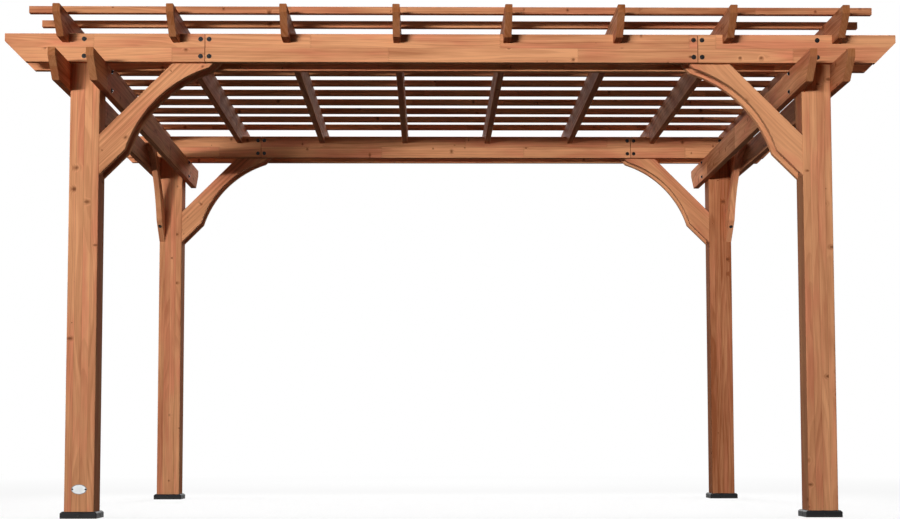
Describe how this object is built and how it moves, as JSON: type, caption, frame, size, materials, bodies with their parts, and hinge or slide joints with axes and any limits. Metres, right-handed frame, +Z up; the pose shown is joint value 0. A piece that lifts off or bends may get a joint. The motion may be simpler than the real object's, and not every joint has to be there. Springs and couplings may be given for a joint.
{
  "type": "free-standing timber pergola",
  "caption": "Open timber pergola: square posts with black base skirts carry paired beams, notched rafters and roof slats, stiffened by arched knee braces.",
  "frame": {"origin": "on the ground at the middle of the plan", "axes": "+X along the long beams, to the right seen from the front; +Y from front to back; +Z up"},
  "size_m": [4.23, 3.29, 2.407],
  "materials": {
    "post_wood": "semi-transparent cedar stain, matt",
    "beam_wood": "semi-transparent cedar stain, matt",
    "side_beam_wood": "semi-transparent cedar stain, matt",
    "brace_wood": "semi-transparent cedar stain, matt",
    "rafter_wood": "semi-transparent cedar stain, matt",
    "slat_wood": "semi-transparent cedar stain, matt",
    "black_skirt": "black powder coat, satin"
  },
  "bodies": {
    "root": {"front_left_post": "post_wood", "front_left_skirt": "black_skirt", "front_left_long_brace": "brace_wood", "front_left_side_brace": "brace_wood", "front_right_post": "post_wood", "front_right_skirt": "black_skirt", "front_right_long_brace": "brace_wood", "front_right_side_brace": "brace_wood", "back_left_post": "post_wood", "back_left_skirt": "black_skirt", "back_left_long_brace": "brace_wood", "back_left_side_brace": "brace_wood", "back_right_post": "post_wood", "back_right_skirt": "black_skirt", "back_right_long_brace": "brace_wood", "back_right_side_brace": "brace_wood", "front_outer_beam_left": "beam_wood", "front_outer_beam_centre": "beam_wood", "front_outer_beam_right": "beam_wood", "front_inner_beam_left": "beam_wood", "front_inner_beam_centre": "beam_wood", "front_inner_beam_right": "beam_wood", "back_inner_beam_left": "beam_wood", "back_inner_beam_centre": "beam_wood", "back_inner_beam_right": "beam_wood", "back_outer_beam_left": "beam_wood", "back_outer_beam_centre": "beam_wood", "back_outer_beam_right": "beam_wood", "left_outer_side_beam": "side_beam_wood", "left_inner_side_beam": "side_beam_wood", "right_outer_side_beam": "side_beam_wood", "right_inner_side_beam": "side_beam_wood", "rafter_1": "rafter_wood", "rafter_2": "rafter_wood", "rafter_3": "rafter_wood", "rafter_4": "rafter_wood", "rafter_5": "rafter_wood", "rafter_6": "rafter_wood", "rafter_7": "rafter_wood", "rafter_8": "rafter_wood", "slat_1": "slat_wood", "slat_2": "slat_wood", "slat_3": "slat_wood", "slat_4": "slat_wood", "slat_5": "slat_wood", "slat_6": "slat_wood", "slat_7": "slat_wood", "slat_8": "slat_wood", "slat_9": "slat_wood", "slat_10": "slat_wood", "slat_11": "slat_wood", "slat_12": "slat_wood"}
  },
  "joints": []
}
